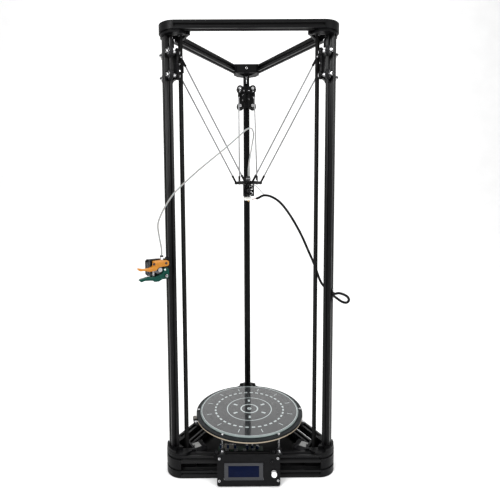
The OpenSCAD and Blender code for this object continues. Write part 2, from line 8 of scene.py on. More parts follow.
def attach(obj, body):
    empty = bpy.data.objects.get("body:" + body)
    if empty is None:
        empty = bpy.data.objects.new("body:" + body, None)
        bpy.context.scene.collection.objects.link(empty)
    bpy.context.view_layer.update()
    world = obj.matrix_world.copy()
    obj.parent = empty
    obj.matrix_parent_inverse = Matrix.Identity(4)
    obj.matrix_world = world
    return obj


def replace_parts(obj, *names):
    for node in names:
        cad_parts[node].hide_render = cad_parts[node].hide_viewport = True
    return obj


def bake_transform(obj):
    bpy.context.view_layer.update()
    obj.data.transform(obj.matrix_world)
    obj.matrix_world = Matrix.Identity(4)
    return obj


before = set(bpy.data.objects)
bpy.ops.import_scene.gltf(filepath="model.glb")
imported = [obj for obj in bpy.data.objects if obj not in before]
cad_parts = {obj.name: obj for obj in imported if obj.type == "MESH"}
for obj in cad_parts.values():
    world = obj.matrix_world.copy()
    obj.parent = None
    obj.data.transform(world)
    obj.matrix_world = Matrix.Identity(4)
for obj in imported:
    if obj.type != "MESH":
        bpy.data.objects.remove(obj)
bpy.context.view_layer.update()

# Shapes are in millimetres, and make() turns them into metres. Materials, floor and lamps are in metres.
MM = 0.001
# The azimuth of each tower and of each side, in degrees, and their distances from the middle.
TOWERS = {"left": 210, "right": 330, "rear": 90}
SIDES = {"front": 270, "left": 150, "right": 30}
TOWER_RADIUS = 232
SIDE_DISTANCE = 137


def move(x, y, z):
    return Matrix.Translation((x, y, z))


def turn(degrees, axis):
    return Matrix.Rotation(math.radians(degrees), 4, axis)


OUTWARD = turn(90, "Y")  # z turns to +x
INWARD = turn(-90, "Y")  # z turns to -x
SIDEWAYS = turn(-90, "X")  # z turns to +y
BACKWARDS = turn(90, "X")  # z turns to -y
DOWN = turn(180, "X")


def at_tower(azimuth):
    return turn(azimuth, "Z") @ move(TOWER_RADIUS, 0, 0)


def at_side(azimuth):
    return turn(azimuth, "Z") @ move(SIDE_DISTANCE, 0, 0)


# ---- Camera

CAMERA_AT = (-28.44, -1159.5, 724.84)
PITCH, YAW, ROLL = (math.radians(a) for a in (4.57, 0.15, 0.33))
FOCAL_LENGTH, SENSOR = 29.76048, 36
SHIFT = (0.02086, -0.04136)  # in widths of the picture


def make_camera():
    """The camera of the photo, which looks a little down."""
    data = bpy.data.cameras.new("camera")
    data.sensor_width = SENSOR
    data.lens = FOCAL_LENGTH
    data.shift_x, data.shift_y = SHIFT
    data.clip_end = 50
    ahead = Vector((math.sin(YAW) * math.cos(PITCH), math.cos(YAW) * math.cos(PITCH), -math.sin(PITCH)))
    right = Vector((math.cos(YAW), -math.sin(YAW), 0))
    down = ahead.cross(right)
    x_axis = right * math.cos(ROLL) + down * math.sin(ROLL)
    y_axis = right * math.sin(ROLL) - down * math.cos(ROLL)
    turned = Matrix((x_axis, y_axis, -ahead)).transposed().to_4x4()
    camera = bpy.data.objects.new("camera", data)
    camera.matrix_world = Matrix.Translation(Vector(CAMERA_AT) * MM) @ turned
    bpy.context.scene.collection.objects.link(camera)
    bpy.context.scene.camera = camera


make_camera()


# ---- Materials

class Nodes:
    """A material's node tree, with a short call for each kind of node."""

    def __init__(self, name):
        self.material = bpy.data.materials.new(name)
        self.material.use_nodes = True
        self.tree = self.material.node_tree
        self.shader = self.tree.nodes["Principled BSDF"]

    def feed(self, socket, value):
        """Links another node's output to the socket, or sets a plain value."""
        if isinstance(value, bpy.types.NodeSocket):
            self.tree.links.new(value, socket)
        else:
            socket.default_value = value

    def add(self, kind, values=(), **settings):
        node = self.tree.nodes.new(kind)
        for key, value in settings.items():
            setattr(node, key, value)
        for key, value in dict(values).items():
            self.feed(node.inputs[key], value)
        return node

    def math(self, operation, *values):
        return self.add("ShaderNodeMath", enumerate(values), operation=operation).outputs[0]

    def place(self, scale=(1, 1, 1), rotation=(0, 0, 0)):
        coords = self.add("ShaderNodeTexCoord").outputs["Object"]
        values = {"Vector": coords, "Scale": scale, "Rotation": rotation}
        return self.add("ShaderNodeMapping", values).outputs[0]

    def noise(self, vector, scale, detail=3.0, rough=0.55):
        values = {"Vector": vector, "Scale": scale, "Detail": detail, "Roughness": rough}
        return self.add("ShaderNodeTexNoise", values).outputs["Fac"]

    def ramp(self, value, low, high, a=0.0, b=1.0):
        """Maps low..high to a..b."""
        return self.add("ShaderNodeMapRange", {0: value, 1: low, 2: high, 3: a, 4: b}).outputs[0]

    def mix(self, factor, a, b):
        """Mixes two colours; a colour mix has its factor at input 0 and its colours at 6 and 7."""
        return self.add("ShaderNodeMix", {0: factor, 6: a, 7: b}, data_type="RGBA").outputs[2]

    def set(self, **values):
        for key, value in values.items():
            self.feed(self.shader.inputs[key.replace("_", " ")], value)


MATERIALS = {}


def tone(color, gain):
    return (*(min(1.0, c * gain) for c in color[:3]), 1.0)


def surface(name, color, rough=0.5, metal=0.0, vary=0.12, scale=60, stretch=(1, 1, 1), rotation=(0, 0, 0),
            grain=900, bump=0.1, depth=0.0001, swing=0.08, **extra):
    """A surface with patchy colour and gloss and a fine relief.

    vary and scale are the patches' strength and fineness, grain, bump and depth are the relief's
    fineness, strength and height, and swing is how far the roughness goes up and down.
    """
    n = Nodes(name)
    spot = n.place(stretch, rotation)
    patches = n.noise(spot, scale, 4)
    fine = n.noise(spot, grain, 2)
    mixed = n.math("ADD", n.math("MULTIPLY", patches, 0.7), n.math("MULTIPLY", fine, 0.3))
    shade = n.ramp(mixed, 0.3, 0.7)
    n.set(
        Base_Color=n.mix(shade, tone(color, 1 - vary), tone(color, 1 + vary)),
        Roughness=n.ramp(n.noise(spot, scale * 2.3, 3), 0.3, 0.7, max(0.02, rough - swing), rough + swing),
        Metallic=metal,
        **extra,
    )
    relief = n.add("ShaderNodeBump", {"Strength": bump, "Distance": depth, "Height": fine})
    n.set(Normal=relief.outputs[0])
    MATERIALS[name] = n.material
    return n


BLACK = (0.0035, 0.0035, 0.0038)
DULL = {"Specular_IOR_Level": 0.08}
TURNED = (1, 1, 14)  # marks that run round the part
for title, stretch, rotation in (
    ("anodised_tower", (1, 1, 0.02), (0, 0, 0)),
    ("anodised_front", (0.02, 1, 1), (0, 0, 0)),
    ("anodised_left", (0.02, 1, 1), (0, 0, math.radians(-60))),
    ("anodised_right", (0.02, 1, 1), (0, 0, math.radians(60))),
):
    surface(title, (0.0042, 0.0042, 0.0045), 0.32, 0, 0.3, 500, stretch, rotation, 2600, 0.16, 0.00006,
            Specular_IOR_Level=0.13)
surface("moulded_black", BLACK, 0.4, 0, 0.2, 90, grain=2200, bump=0.25, depth=0.00012, **DULL)
surface("anodised_plate", (0.006, 0.006, 0.0065), 0.34, 0, 0.25, 120,
        grain=3000, bump=0.18, depth=0.00005, **DULL)
surface("motor_black", (0.007, 0.007, 0.0078), 0.4, 0.1, 0.25, 120,
        grain=1800, bump=0.18, depth=0.00008, **DULL)
surface("motor_steel", (0.22, 0.22, 0.23), 0.42, 0.9, 0.1, 150, (1, 1, 8),
        grain=1500, bump=0.1, depth=0.00004)
surface("label_grey", (0.21, 0.21, 0.205), 0.5, 0, 0.08, 200, grain=2500, bump=0.08, depth=0.00003)
surface("bright_steel", (0.66, 0.66, 0.67), 0.24, 1, 0.08, 300, grain=2600, bump=0.08, depth=0.00003)
surface("dark_steel", (0.025, 0.025, 0.027), 0.38, 0.6, 0.2, 300, grain=2600, bump=0.12, depth=0.00004)
surface("turned_steel", (0.42, 0.42, 0.43), 0.3, 1, 0.1, 200, TURNED, grain=1800, bump=0.12, depth=0.00004)
surface("sink_grey", (0.13, 0.13, 0.135), 0.34, 0.9, 0.15, 200, TURNED, grain=1800, bump=0.12, depth=0.00004)
# Dark red-brown for the feeder's screw recess floors: painted shade inside the holes in the orange plastic.
surface("painted_recess_shade", (0.05, 0.008, 0.004), 0.5, 0, 0.2, 200, grain=2400, bump=0.15, depth=0.00006)
surface("brass", (0.55, 0.34, 0.11), 0.3, 1, 0.1, 250, grain=2400, bump=0.1, depth=0.00003)
surface("belt_rubber", (0.007, 0.007, 0.007), 0.62, 0, 0.25, 200, (1, 1, 0.3),
        grain=1800, bump=0.25, depth=0.0001, **DULL)
surface("seal_rubber", (0.008, 0.008, 0.008), 0.55, 0, 0.15, 300, grain=2600, bump=0.2, depth=0.00006, **DULL)
surface("wheel_plastic", (0.011, 0.011, 0.012), 0.38, 0, 0.2, 150,
        grain=2400, bump=0.14, depth=0.00005, **DULL)
surface("arm_grey", (0.2, 0.2, 0.205), 0.36, 0.4, 0.16, 260, (1, 1, 0.2),
        grain=2200, bump=0.14, depth=0.00005)
surface("orange_plastic", (0.45, 0.168, 0.009), 0.36, 0, 0.16, 110, grain=1500, bump=0.16, depth=0.0001,
        Subsurface_Weight=0.06, Subsurface_Scale=0.002, Specular_IOR_Level=0.3)
surface("green_plastic", (0.0015, 0.043, 0.031), 0.32, 0, 0.25, 110, grain=1500, bump=0.16, depth=0.0001,
        Specular_IOR_Level=0.12)
surface("ptfe", (0.25, 0.255, 0.25), 0.36, 0, 0.07, 120, grain=1600, bump=0.1, depth=0.00004,
        Subsurface_Weight=0.15, Subsurface_Scale=0.002)
surface("tape_white", (0.95, 0.93, 0.88), 0.68, 0, 0.1, 220, grain=3000, bump=0.4, depth=0.0001)
surface("lead_red", (0.26, 0.05, 0.022), 0.5, 0, 0.2, 200, grain=2400, bump=0.15, depth=0.00006)
surface("lead_black", (0.008, 0.008, 0.008), 0.5, 0, 0.2, 200, grain=2400, bump=0.15, depth=0.00006, **DULL)
surface("panel_black", (0.0045, 0.0045, 0.005), 0.36, 0, 0.25, 100,
        grain=2600, bump=0.2, depth=0.00006, **DULL)
surface("bezel_metal", (0.026, 0.027, 0.031), 0.36, 0.3, 0.15, 260, (0.2, 1, 1),
        grain=2600, bump=0.12, depth=0.00003)
surface("board_green", (0.004, 0.022, 0.01), 0.42, 0, 0.25, 160, grain=2600, bump=0.1, depth=0.00004, **DULL)
surface("board_blue", (0.004, 0.01, 0.03), 0.42, 0, 0.2, 160, grain=2600, bump=0.1, depth=0.00004, **DULL)
surface("knob_white", (0.95, 0.95, 0.95), 0.2, 0.6, 0.05, 200, grain=2400, bump=0.08, depth=0.00003)
surface("cream_edge", (0.36, 0.3, 0.22), 0.6, 0, 0.2, 260, grain=2000, bump=0.3, depth=0.0001)
surface("connector_white", (0.11, 0.1, 0.085), 0.45, 0, 0.1, 200, grain=2400, bump=0.1, depth=0.00004)
surface("sleeve_black", (0.006, 0.006, 0.0065), 0.4, 0, 0.3, 300,
        grain=3000, bump=0.25, depth=0.00008, **DULL)


def heater_print(name, **extra):
    """Black with a pale print of plain rings, spokes and dashes."""
    n = surface(name, (0.008, 0.01, 0.011), 0.4, 0, 0.2, 60, grain=700, bump=0.05, depth=0.00002,
                **DULL, **extra)
    spot = n.add("ShaderNodeSeparateXYZ", {0: n.add("ShaderNodeTexCoord").outputs["Object"]})
    x, y, z = spot.outputs
    radius = n.math("SQRT", n.math("ADD", n.math("MULTIPLY", x, x), n.math("MULTIPLY", y, y)))
    angle = n.math("ARCTAN2", y, x)

    def band(value, middle, half, soft=0.0004):
        away = n.math("ABSOLUTE", n.math("SUBTRACT", value, middle))
        return n.ramp(away, half, half + soft, 1.0, 0.0)

    def spokes(count, share):
        phase = n.math("FRACT", n.math("MULTIPLY", n.math("ADD", angle, math.pi), count / math.tau))
        return n.math("LESS_THAN", n.math("ABSOLUTE", n.math("SUBTRACT", phase, 0.5)), share / 2)

    print_from = 0.1035  # keeps the print off the heated plate's lower faces
    marks = [
        band(radius, 0.1375, 0.0006),
        n.math("MULTIPLY", band(radius, 0.098, 0.0022), spokes(36, 0.55)),
        band(radius, 0.064, 0.0009),
        n.math("MULTIPLY", band(radius, 0.046, 0.006), spokes(6, 0.12)),
        band(radius, 0.024, 0.0016),
        n.math("MULTIPLY", band(radius, 0.118, 0.007), spokes(12, 0.03)),
        band(radius, 0.004, 0.002),
    ]
    total = marks[0]
    for mark in marks[1:]:
        total = n.math("MAXIMUM", total, mark)
    total = n.math("MULTIPLY", total, n.math("GREATER_THAN", z, print_from))
    plain = n.shader.inputs["Base Color"].links[0].from_socket
    n.set(Base_Color=n.mix(n.math("MULTIPLY", total, 0.9), plain, (0.42, 0.47, 0.47, 1)))


heater_print("heater_black")
heater_print("glass", Coat_Weight=1.0, Coat_Roughness=0.05)


def screen_and_glass():
    n = surface("screen_blue", (0.002, 0.004, 0.017), 0.16, 0, 0.2, 80, grain=1500, bump=0.02, depth=0.00001,
                Specular_IOR_Level=0.04)
    spot = n.add("ShaderNodeSeparateXYZ", {0: n.add("ShaderNodeTexCoord").outputs["Object"]})
    cells_per_metre, gap = 1000 / 1.2, 0.18
    across = n.math("FRACT", n.math("MULTIPLY", spot.outputs[0], cells_per_metre))
    up = n.math("FRACT", n.math("MULTIPLY", spot.outputs[2], cells_per_metre))
    cell = n.math("MULTIPLY", n.math("GREATER_THAN", across, gap), n.math("GREATER_THAN", up, gap))
    plain = n.shader.inputs["Base Color"].links[0].from_socket
    n.set(Base_Color=n.mix(n.math("MULTIPLY", cell, 0.35), plain, (0.003, 0.006, 0.026, 1)))
    # A pale rim for the glass plate's edge faces: a painted highlight where the glass edge catches the light.
    surface("glass_edge_painted_glint", (0.3, 0.36, 0.35), 0.12, 0, 0.12, 60, grain=400, bump=0.05, depth=0.00002)


screen_and_glass()


# ---- Mesh building

def circle(r, z, n=32, shape=None):
    """A loop of n points at height z; shape(angle) scales the radius."""
    points = []
    for i in range(n):
        a = math.tau * i / n
        k = r * (shape(a) if shape else 1)
        points.append((k * math.cos(a), k * math.sin(a), z))
    return points


def hexagon(angle):
    """The edge of a hexagon whose sides are 1 from its middle."""
    third = math.pi / 3
    return 1 / math.cos(angle % third - third / 2)


def knurl(count, deep):
    return lambda angle: 1 - deep * (0.5 + 0.5 * math.cos(count * angle))


def offset_loop(outline, by):
    """An anticlockwise outline moved inwards by a distance, corner by corner."""
    result, count = [], len(outline)
    for i in range(count):
        before, here, after = (Vector(outline[j % count]) for j in (i - 1, i, i + 1))
        a, b = (here - before).normalized(), (after - here).normalized()
        na, nb = Vector((-a.y, a.x)), Vector((-b.y, b.x))
        both = na + nb
        both = both / max(0.35, both.dot(na)) if both.length > 1e-6 else na
        result.append(tuple(here + both * by))
    return result


def arc(cx, cy, r, a0, a1, steps):
    """Points round a centre, from angle a0 to a1 in degrees."""
    turns = (math.radians(a0 + (a1 - a0) * i / steps) for i in range(steps + 1))
    return [(cx + r * math.cos(a), cy + r * math.sin(a)) for a in turns]


def rounded(w, h, r, steps=5):
    """A rectangle with round corners about the origin, anticlockwise."""
    points = []
    for sx, sy, start in ((1, 1, 0), (-1, 1, 90), (-1, -1, 180), (1, -1, 270)):
        points += arc(sx * (w / 2 - r), sy * (h / 2 - r), r, start, start + 90, steps)
    return points


def smooth_line(points, steps):
    """A smooth line through the points, with steps to each span."""
    pts = [Vector(p) for p in points]
    line = []
    for i in range(len(pts) - 1):
        p0, p1, p2, p3 = pts[max(i - 1, 0)], pts[i], pts[i + 1], pts[min(i + 2, len(pts) - 1)]
        for k in range(steps):
            t = k / steps
            line.append(0.5 * (2 * p1 + (p2 - p0) * t + (2 * p0 - 5 * p1 + 4 * p2 - p3) * t * t
                               + (3 * p1 - p0 - 3 * p2 + p3) * t ** 3))
    return line + [pts[-1]]


class Kit:
    """Gathers shapes in millimetres and makes one object of them."""

    def __init__(self):
        self.points, self.faces, self.names = [], [], []

    def add(self, points, faces, material, at=None):
        start = len(self.points)
        at = at or Matrix()
        self.points += [at @ Vector(p) for p in points]
        for face in faces:
            self.faces.append((tuple(start + i for i in face), material))
        if material not in self.names:
            self.names.append(material)

    def stack(self, loops, material, at=None, closed=False):
        """Joins loops of the same length; the ends are capped unless the last joins the first."""
        n, count = len(loops[0]), len(loops)
        faces = []
        for j in range(count if closed else count - 1):
            a, b = j * n, (j + 1) % count * n
            faces += [(a + i, a + (i + 1) % n, b + (i + 1) % n, b + i) for i in range(n)]
        if not closed:
            faces += [tuple(range(n - 1, -1, -1)), tuple(range((count - 1) * n, count * n))]
        self.add([p for loop in loops for p in loop], faces, material, at)

    def lathe(self, profile, material, at=None, n=32, shape=None, closed=False):
        self.stack([circle(max(r, 0.01), z, n, shape) for r, z in profile], material, at, closed)

    def rod(self, r, z0, z1, material, at=None, n=32, edge=0.3, shape=None):
        e = min(edge, r * 0.5, abs(z1 - z0) * 0.4)
        low = [(r - e, z0), (r - e * 0.3, z0 + e * 0.3), (r, z0 + e)]
        high = [(r, z1 - e), (r - e * 0.3, z1 - e * 0.3), (r - e, z1)]
        self.lathe(low + high, material, at, n, shape)

    def ring(self, r0, r1, z0, z1, material, at=None, n=32, edge=0.2):
        e = min(edge, (r1 - r0) * 0.4, abs(z1 - z0) * 0.4)
        self.lathe([(r0, z0 + e), (r0 + e, z0), (r1 - e, z0), (r1, z0 + e), (r1, z1 - e), (r1 - e, z1),
                    (r0 + e, z1), (r0, z1 - e)], material, at, n, None, True)

    def prism(self, outline, z0, z1, material, at=None, edge=0.4):
        turning = sum(a[0] * b[1] - b[0] * a[1] for a, b in zip(outline, outline[1:] + outline[:1]))
        if turning < 0:
            outline = outline[::-1]
        e = min(edge, abs(z1 - z0) * 0.4)
        loops = []
        low = ((e, z0), (e * 0.3, z0 + e * 0.3), (0, z0 + e))
        high = ((0, z1 - e), (e * 0.3, z1 - e * 0.3), (e, z1))
        for inset, z in low + high:
            loops.append([(x, y, z) for x, y in (offset_loop(outline, inset) if inset else outline)])
        self.stack(loops, material, at)

    def block(self, low, high, material, at=None, edge=0.3):
        size = [b - a for a, b in zip(low, high)]
        middle = [(a + b) / 2 for a, b in zip(low, high)]
        r = min(edge, size[0] * 0.4, size[1] * 0.4)
        here = (at or Matrix()) @ move(middle[0], middle[1], 0)
        self.prism(rounded(size[0], size[1], r, 2), low[2], high[2], material, here, r)

    def tube(self, line, r, material, at=None, n=10, radii=None, wrap=None):
        """A round tube along a line; radii gives a radius to each point."""
        pts = [Vector(p) for p in line]
        normal, loops = None, []
        for i, p in enumerate(pts):
            ahead = (pts[min(i + 1, len(pts) - 1)] - pts[max(i - 1, 0)]).normalized()
            if normal is None:
                normal = ahead.cross(Vector((0.1, 0.2, 1)) if abs(ahead.z) < 0.9 else Vector((0, 1, 0.1)))
            normal = (normal - ahead * normal.dot(ahead)).normalized()
            other = ahead.cross(normal)
            here = radii[i] if radii else r
            loop = []
            for k in range(n):
                a = math.tau * k / n
                q = here * (wrap(i, a) if wrap else 1)
                loop.append(p + normal * (q * math.cos(a)) + other * (q * math.sin(a)))
            loops.append(loop)
        self.stack(loops, material, at)

    def socket_screw(self, r, h, material, at=None, dome=0.12):
        """A screw head with a hexagon socket, standing on z = 0."""
        n, rim, hole = 24, dome * r, 0.5 * r
        loops = [circle(r * 0.98, 0, n), circle(r, 0.1 * h, n), circle(r, h - rim, n),
                 circle(r - rim * 0.3, h - rim * 0.3, n), circle(r - rim, h, n),
                 circle(hole * 1.12, h, n, hexagon), circle(hole, h - 0.12, n, hexagon),
                 circle(hole, h * 0.5, n, hexagon), circle(0.02, h * 0.46, n)]
        self.stack(loops, material, at)

    def nut(self, a, h, hole, material, at=None):
        """A hexagon nut with rounded corners; a is from its middle to a side."""
        n = 24
        bevel = 0.12 * a
        loops = [circle(hole, 0.1, n), circle(hole + 0.2, 0, n), circle(a, 0, n),
                 circle(a, bevel, n, hexagon), circle(a, h - bevel, n, hexagon),
                 circle(a, h, n), circle(hole + 0.2, h, n), circle(hole, h - 0.1, n)]
        self.stack(loops, material, at, True)

    def spring(self, r, wire, z0, z1, turns, material, at=None):
        steps = 16 * turns
        flat = arc(0, 0, r, 0, 360 * turns, steps)
        line = [(x, y, z0 + (z1 - z0) * i / steps) for i, (x, y) in enumerate(flat)]
        self.tube(line, wire, material, at, 8)

    def make(self, name, body, smooth=35):
        mesh = bpy.data.meshes.new(name)
        mesh.from_pydata([p * MM for p in self.points], [], [f for f, _ in self.faces])
        for title in self.names:
            mesh.materials.append(MATERIALS[title])
        for polygon, (_, title) in zip(mesh.polygons, self.faces):
            polygon.material_index = self.names.index(title)
        work = bmesh.new()
        work.from_mesh(mesh)
        bmesh.ops.recalc_face_normals(work, faces=work.faces)
        work.to_mesh(mesh)
        work.free()
        mesh.shade_smooth()
        mesh.set_sharp_from_angle(angle=math.radians(smooth))
        piece = bpy.data.objects.new(name, mesh)
        bpy.context.scene.collection.objects.link(piece)
        if body:
            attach(piece, body)
        return piece


# ---- Cords

BOWDEN = [
    (-218, -150.5, 581), (-218, -150.5, 598), (-223, -152, 630), (-224.5, -154.5, 658), (-214, -156.8, 686),
    (-198, -157.5, 713), (-178, -156, 739), (-137, -147, 778), (-109, -136, 803), (-61, -110, 845),
    (-27, -82, 878), (-5, -50, 901), (9, -18, 908), (15, 8, 896), (12, 16, 874), (6, 11, 840),
    (1, 3, 806), (0, 0, 780.3),
]
HARNESS = [
    (9.1, 0, 716), (25, -1, 719), (44, -5, 727), (66, -10, 722), (88, -18, 706), (108, -28, 680),
    (127, -38, 648), (143, -48, 616), (159, -56, 578), (174, -63, 542), (190.5, -68.5, 496.3),
    (206.6, -74.5, 476.7), (221.3, -81, 461.9), (232.7, -87, 453.1), (242.8, -94.5, 447.2),
    (251.6, -104, 447.7), (254.9, -113.5, 457), (248.9, -120, 467.3), (237.6, -124, 474.3),
    (225.7, -125.5, 477.8), (216.1, -124.8, 476), (209.7, -121.1, 475),
]


def build_cords():
    """The filament tube, and the harness: leads at the heater, a short collar, then a ribbed sleeve."""
    line = smooth_line(BOWDEN, 8)
    kit = Kit()
    kit.tube(line, 2, "ptfe", n=16)
    tube = kit.make("bowden_line", None)
    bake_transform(tube)
    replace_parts(tube, "bowden_tube")

    line = smooth_line(HARNESS, 8)
    leads_end, collar_end = 11.5, 26
    lead_radius, collar_radius, sleeve_radius = 0.9, 3.38, 3.3
    run, radii = 0, []
    for i, p in enumerate(line):
        run += (p - line[i - 1]).length if i else 0
        radii.append(lead_radius if run < leads_end else collar_radius if run < collar_end else sleeve_radius)
    kit = Kit()
    kit.tube(line, sleeve_radius, "sleeve_black", n=20, radii=radii,
             wrap=lambda i, a: 1 + 0.02 * math.cos(10 * a + i * 0.9))
    cable = kit.make("harness_sleeve", None, 60)
    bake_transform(cable)
    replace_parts(cable, "hotend_harness")


build_cords()


# ---- Pieces that carry over from CAD, with their materials

def dress(node, material):
    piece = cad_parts[node]
    if not piece.data.materials:
        piece.data.materials.append(None)
    for slot in piece.material_slots:
        slot.material = MATERIALS[material]
    piece.data.shade_smooth()
    piece.data.set_sharp_from_angle(angle=math.radians(30))


for where in TOWERS:
    dress("tower_" + where, "anodised_tower")
    dress("top_corner_" + where, "moulded_black")
    dress("base_corner_" + where, "moulded_black")
    dress("motor_pulley_" + where, "turned_steel")
    dress("idler_pulley_" + where, "turned_steel")
    for number in (1, 2, 3, 4):
        dress(f"wheel_{where}_{number}", "wheel_plastic")
for where in SIDES:
    dress("top_beam_" + where, "anodised_" + where)
    dress("base_beams_" + where, "anodised_" + where)
for node, material in (
    ("drive_belts", "belt_rubber"), ("bed_heater", "heater_black"), ("bed_mounts", "bright_steel"),
    ("display_panel", "panel_black"), ("feed_bracket", "anodised_plate"),
    ("effector_plate", "anodised_plate"), ("heat_sink", "sink_grey"), ("fan_frame", "moulded_black"),
    ("encoder_shaft", "turned_steel"), ("drive_gear", "turned_steel"), ("pinch_bearing", "dark_steel"),
):
    dress(node, material)


# ---- Frame: motors, belts' teeth, screws, endstops

# Heights of the motor and idler axles, and places along a tower's own x, which points outwards.
MOTOR_Z, IDLER_Z, PLATE_X, BELT_X = 30, 1128.5, -46, -35
MOTOR_SCREW = 15.5  # half the screw spacing of a size 17 motor
FEED_TOWER = at_tower(TOWERS["left"])
FEED_Z, FEED_OUT = 546, 38  # the feeder motor's axle: height, and distance outwards from that tower


def motor(kit, at, plug_turn):
    """A motor with its front face on z = 0. Its shaft, along +z, is part of the pulley or gear it drives."""
    def case(w, cut, z0, z1):
        """A square part of the case with its corners cut off."""
        h = w / 2
        outline = [(h, -h + cut), (h, h - cut), (h - cut, h), (-h + cut, h), (-h, h - cut), (-h, -h + cut),
                   (-h + cut, -h), (h - cut, -h)]
        kit.prism(outline, z0, z1, "motor_black", at, 0.35)

    case(42.2, 4.2, -8.5, 0)
    case(41.6, 6.4, -31.2, -8.5)
    case(42.2, 4.2, -40, -31.2)
    kit.ring(2.7, 11, 0, 2, "motor_steel", at, 48, 0.3)
    for x in (-1, 1):
        for y in (-1, 1):
            kit.socket_screw(2.4, 0.9, "dark_steel", at @ move(x * MOTOR_SCREW, y * MOTOR_SCREW, -40) @ DOWN)
    plug = at @ turn(plug_turn, "Z")
    kit.block((-8, -25.5, -38), (8, -21, -32), "connector_white", plug, 0.4)
    for i in range(6):
        x = -6.25 + 2.5 * i
        lead = [(x, -24.6, -35), (x, -26.2, -35), (x * 0.9, -27.3, -36.5), (x * 0.7, -27.6, -39.5)]
        kit.tube(lead, 0.55, ("lead_red", "lead_black")[i % 2], plug, 6)


def build_motors():
    kit = Kit()
    for azimuth in TOWERS.values():
        at = at_tower(azimuth) @ move(PLATE_X, 0, MOTOR_Z) @ OUTWARD
        motor(kit, at, 90)
        top = at_tower(azimuth) @ move(-64, 0, MOTOR_Z + 20.8)
        kit.block((-9.5, -11, 0), (9.5, 11, 0.35), "label_grey", top, 0.3)
    feeder = FEED_TOWER @ move(FEED_OUT, 12, FEED_Z) @ SIDEWAYS
    motor(kit, feeder, 180)
    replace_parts(kit.make("motor_cases", "frame"), "stepper_motors")


def build_belt_teeth():
    """Teeth on the inner face of each straight run of the belts, sunk a little into it."""
    kit = Kit()
    inner, half_width, pitch = 6.35, 2.9, 2
    low, high = MOTOR_Z + 2, IDLER_Z - 2
    count = int((high - low) / pitch)
    for azimuth in TOWERS.values():
        at = at_tower(azimuth)
        for side in (-1, 1):
            points, faces = [], []
            y0, y1 = side * (inner + 0.1), side * (inner - 0.55)
            for i in range(count):
                z = low + pitch * i
                for x in (BELT_X - half_width, BELT_X + half_width):
                    points += [(x, y0, z), (x, y0, z + 1.15), (x, y1, z + 0.85), (x, y1, z + 0.3)]
                b = 8 * i
                faces += [(b, b + 1, b + 2, b + 3), (b + 4, b + 7, b + 6, b + 5)]
                faces += [(b + k, b + (k + 1) % 4, b + 4 + (k + 1) % 4, b + 4 + k) for k in range(4)]
            kit.add(points, faces, "belt_rubber", at)
    kit.make("belt_teeth", "frame")


def build_corner_screws():
    kit = Kit()
    for azimuth in TOWERS.values():
        at = at_tower(azimuth)
        kit.socket_screw(3.6, 5, "bright_steel", at @ move(PLATE_X, 0, IDLER_Z) @ INWARD)
        for y in (-1, 1):
            for z in (-1, 1):
                spot = at @ move(PLATE_X + 5, MOTOR_SCREW * y, MOTOR_Z + MOTOR_SCREW * z) @ OUTWARD
                kit.socket_screw(2.75, 2.4, "dark_steel", spot)
            for z in (10, 50, 1132):
                arm = at @ turn(150 if y > 0 else 210, "Z") @ move(31, -4.7 * y, z)
                kit.socket_screw(3.6, 3, "dark_steel", arm @ (SIDEWAYS if y > 0 else BACKWARDS))
        for y in (-22, 22):
            spot = at @ move(PLATE_X, y, 66) @ INWARD
            kit.socket_screw(2.6, 2, "dark_steel", spot)
    kit.make("corner_screws", "frame")


def build_endstops():
    kit = Kit()
    for azimuth in TOWERS.values():
        at = at_tower(azimuth)
        kit.block((-16.4, -6, 1091), (-10, 6, 1111), "moulded_black", at, 0.5)
        kit.block((-17.4, -4, 1089.2), (-16.4, 4, 1110), "dark_steel", at, 0.2)
        lever = [(-17, 0, 1107), (-18.2, 0, 1100), (-18.9, 0, 1093), (-18.6, 0, 1089.5)]
        kit.tube(lever, 0.8, "bright_steel", at, 8)
        kit.socket_screw(3, 2, "bright_steel", at @ move(-17.4, 0, 1107.4) @ INWARD)
        kit.rod(1.4, 0, 1.2, "label_grey", at @ move(-17.4, 0, 1092.5) @ INWARD, 16)
        for y in (-3, 3):
            kit.block((-14.5, y - 0.6, 1111), (-12.5, y + 0.6, 1113.4), "bright_steel", at, 0.15)
    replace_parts(kit.make("endstops", "frame"), "endstop_switches")


build_motors()
build_belt_teeth()
build_corner_screws()
build_endstops()


# ---- Carriages, wheels and arms

# JOINT is where a carriage's balls are and EFFECTOR where the effector's are, as distance from the
# printer's middle and height. BALL is the carriage's balls again, from the carriage's own middle.
BALL_X, BALL_Z = -26, 16
JOINT_X, JOINT_Z = TOWER_RADIUS + BALL_X, 1062
EFFECTOR_X, EFFECTOR_Z = 25, 762
CARRIAGE_Z = JOINT_Z - BALL_Z
AXLE_Y, AXLE_Z = 20.5, 27.5


def carriage_outline():
    """The plate, (height, width): a body with four round ears and a waist on each side."""
    quarter = arc(AXLE_Z, AXLE_Y, 10.3, -50, 158, 12) + arc(0, 33.2, 11, -56, -90, 5)
    mirrored = [(-x, y) for x, y in reversed(quarter[:-1])]
    half = quarter + mirrored
    return half + [(-x, -y) for x, y in half]


